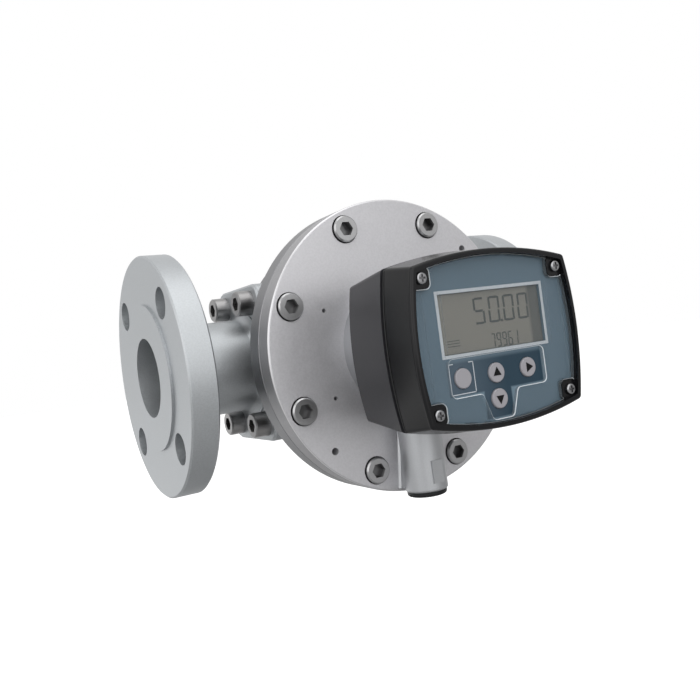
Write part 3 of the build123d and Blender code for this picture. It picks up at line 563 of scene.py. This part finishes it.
def add_number(mesh, text, inset, drop, width, height, stroke, pitch):
    """A row of numerals, set in from the glass's right edge and down from its middle."""
    left = LCD_RIGHT - inset
    base = LCD_MIDDLE.z - drop
    for mark in reversed(text):
        if mark == ".":
            point = left - pitch + width + stroke * POINT_GAP_IN_STROKES
            size = stroke * POINT_SIZE_IN_STROKES
            add_bar(mesh, LCD_FRONT, point, point + size, base, base + size)
            continue
        left -= pitch
        for letter in SEGMENTS[mark]:
            x0, x1, z0, z1 = segment(letter, width, height, stroke)
            start = left + DIGIT_LEAN * (z0 + z1) / 2
            add_bar(mesh, LCD_FRONT, start + x0, start + x1, base + z0, base + z1)


def display_numerals():
    """The large upper row of numerals."""
    numerals = bmesh.new()
    add_number(
        numerals, "50.00", inset=0.0060, drop=0.0020,
        width=0.0075, height=0.0140, stroke=0.0012, pitch=0.0101,
    )
    ink = plain("display_ink", colour=(0.105, 0.100, 0.085), roughness=0.4)
    add_piece(numerals, "display_numerals", ink)


# Three faint bars stand to the left of the small lower row

FAINT_BARS = 3
FAINT_BAR_INSET = 0.0036
FAINT_BAR_LENGTH = 0.0082
FAINT_BAR_HEIGHT = 0.0004
FAINT_BAR_PITCH = 0.0014
FAINT_BAR_DROP = 0.0116


def display_total():
    """The small lower row of numerals, and the faint bars."""
    total = bmesh.new()
    add_number(
        total, "79961", inset=0.0172, drop=0.0150,
        width=0.0031, height=0.0075, stroke=0.0007, pitch=0.0040,
    )
    left = LCD_LEFT + FAINT_BAR_INSET
    for row in range(FAINT_BARS):
        bottom = LCD_MIDDLE.z - FAINT_BAR_DROP + FAINT_BAR_PITCH * row
        add_bar(total, LCD_FRONT, left, left + FAINT_BAR_LENGTH, bottom, bottom + FAINT_BAR_HEIGHT)
    ink = plain("display_faint_ink", colour=(0.125, 0.118, 0.100), roughness=0.4)
    add_piece(total, "display_total", ink)


# Pale border round the display, and a thin outline round the first key

BORDER_BAR = 0.0017
OUTLINE_BAR = 0.00045
OUTLINE_HALF = 0.0078
OUTLINE_GAP_HALF = 0.0052


def display_border():
    """Four pale bars round the display's glass."""
    border = bmesh.new()
    left, right = LCD_LEFT - BORDER_BAR, LCD_RIGHT + BORDER_BAR
    add_bar(border, FACE_FRONT, left, right, LCD_BOTTOM - BORDER_BAR, LCD_BOTTOM)
    add_bar(border, FACE_FRONT, left, LCD_LEFT, LCD_BOTTOM, LCD_TOP)
    add_bar(border, FACE_FRONT, left, right, LCD_TOP, LCD_TOP + BORDER_BAR)
    add_bar(border, FACE_FRONT, LCD_RIGHT, right, LCD_BOTTOM, LCD_TOP)
    ink = plain("border_white", colour=(0.90, 0.91, 0.92), roughness=0.4)
    add_piece(border, "display_border", ink)


def key_outline():
    """A square outline round the first key, open in the middle of its top."""
    outline = bmesh.new()
    half, gap, thin = OUTLINE_HALF, OUTLINE_GAP_HALF, OUTLINE_BAR / 2
    for x0, x1, z0, z1 in (
        (-half, half, -half, -half),
        (-half, -half, -half, half),
        (half, half, -half, half),
        (-half, -gap, half, half),
        (gap, half, half, half),
    ):
        left, right = FIRST_KEY.x + x0 - thin, FIRST_KEY.x + x1 + thin
        add_bar(outline, FACE_FRONT, left, right, FIRST_KEY.z + z0 - thin, FIRST_KEY.z + z1 + thin)
    ink = plain("outline_pale", colour=(0.62, 0.66, 0.70), roughness=0.45)
    add_piece(outline, "key_outline", ink)


display_numerals()
display_total()
display_border()
key_outline()

# Key arrows

ARROW_REACH = 0.00306
ARROW_ANGLES = {"up_key": 90, "down_key": -90, "right_key": 0}
arrow_ink = plain("arrow_ink", colour=(0.006, 0.006, 0.007), roughness=0.6, specular=0.15)


def add_arrow(key, angle):
    """A dark triangle on a key, pointing at the angle."""
    place = middle_of(key)
    place.y = front_of(key) - MARK_THICKNESS / 2
    upright = Matrix.Rotation(math.radians(90), 4, "X")
    turned = Matrix.Rotation(math.radians(90 - angle), 4, "Y") @ upright
    arrow = bmesh.new()
    bmesh.ops.create_cone(
        arrow, cap_ends=True, segments=3, radius1=ARROW_REACH, radius2=ARROW_REACH,
        depth=MARK_THICKNESS, matrix=Matrix.Translation(place) @ turned,
    )
    add_piece(arrow, key + "_arrow", arrow_ink, key)


for key_name, arrow_angle in ARROW_ANGLES.items():
    add_arrow(key_name, arrow_angle)

# Floor: white to the camera, grey to the light on it, and in metal dim in front and pale behind

FLOOR_HEIGHT = -0.24
FLOOR_HALF = 6.0
FLOOR_WHITE = (0.80, 0.80, 0.80)
FLOOR_GREY = (0.34, 0.34, 0.34)
FLOOR_GLOW = 0.60
FLOOR_IN_METAL = 0.10
REAR_IN_METAL = 0.85
REAR_FLOOR_FROM = 0.1
REAR_FLOOR_OVER = 0.5


def pale_floor():
    """A pale floor below the meter, which keeps the meter's shadow."""
    finish = Finish("floor_pale", FLOOR_WHITE, roughness=0.6)
    camera, glossy, through = finish.rays()
    _, depth, _ = finish.axes()
    behind = (depth - REAR_FLOOR_FROM) / REAR_FLOOR_OVER
    mirrored = glossy * behind.ramp((0, FLOOR_IN_METAL), (1, REAR_IN_METAL))
    seen = camera.greater(mirrored.greater(through))
    finish.give("Base Color", seen.blend(FLOOR_GREY, FLOOR_WHITE))
    finish.give("Emission Color", seen.blend((0, 0, 0), (1, 1, 1)))
    finish.give("Emission Strength", FLOOR_GLOW)
    ground = bmesh.new()
    bmesh.ops.create_grid(ground, x_segments=1, y_segments=1, size=FLOOR_HALF)
    bmesh.ops.translate(ground, vec=(0, 0, FLOOR_HEIGHT), verts=ground.verts)
    add_object(ground, "floor", finish.material)


pale_floor()

# Room: white to the camera, and in metal dim low down and to the right in front, and pale behind

LEVELS_BY_HEIGHT = ((0.0, 0.08), (0.41, 0.28), (0.48, 0.82), (0.60, 0.84))
SIDE_LEVEL = 1.30
SIDE_FALL = 0.75
SIDE_LEAST = 0.5
SIDE_MOST = 1.1
REAR_FROM = -0.2
REAR_OVER = 0.6
SOFT_LEVEL = 0.50
SOFT_RISE = 0.22
SOFT_FALL = 0.10


def pale_room():
    """The room as the camera sees it, as metal mirrors it, and as it lights the meter."""
    world = bpy.data.worlds.new("pale_room")
    scene.world = world
    room = Tree(world)
    across, depth, height = room.axes("Generated")
    by_height = (height * 0.5 + 0.5).ramp(*LEVELS_BY_HEIGHT)
    front = by_height * (SIDE_LEVEL - across * SIDE_FALL).clamp(SIDE_LEAST, SIDE_MOST)
    mirrored = front + (REAR_IN_METAL - front) * depth.rise(REAR_FROM, REAR_OVER)
    soft = height * SOFT_RISE + SOFT_LEVEL - across * SOFT_FALL
    camera, glossy, through = room.rays()
    light = soft + glossy * (mirrored - soft)
    level = light + camera.greater(through) * (1 - light)
    room.set(room.nodes["Background"].inputs["Color"], level)


pale_room()

# Soft boxes above, in front and to the left

LAMP_AIM = Vector((LCD_MIDDLE.x, -0.05, 0))


def soft_box(name, place, size, power):
    """A square lamp that faces the meter."""
    data = bpy.data.lights.new(name, "AREA")
    data.shape = "SQUARE"
    data.size = size
    data.energy = power
    lamp = bpy.data.objects.new(name, data)
    facing = (LAMP_AIM - Vector(place)).to_track_quat("-Z", "Y").to_matrix().to_4x4()
    lamp.matrix_world = Matrix.Translation(place) @ facing
    scene.collection.objects.link(lamp)


soft_box("left_light", place=(-1.1, -0.55, 0.45), size=1.2, power=4.0)
soft_box("top_light", place=(0.15, -0.35, 1.1), size=0.9, power=3.0)
soft_box("front_light", place=(0.02, -1.3, 0.5), size=1.6, power=6.3)
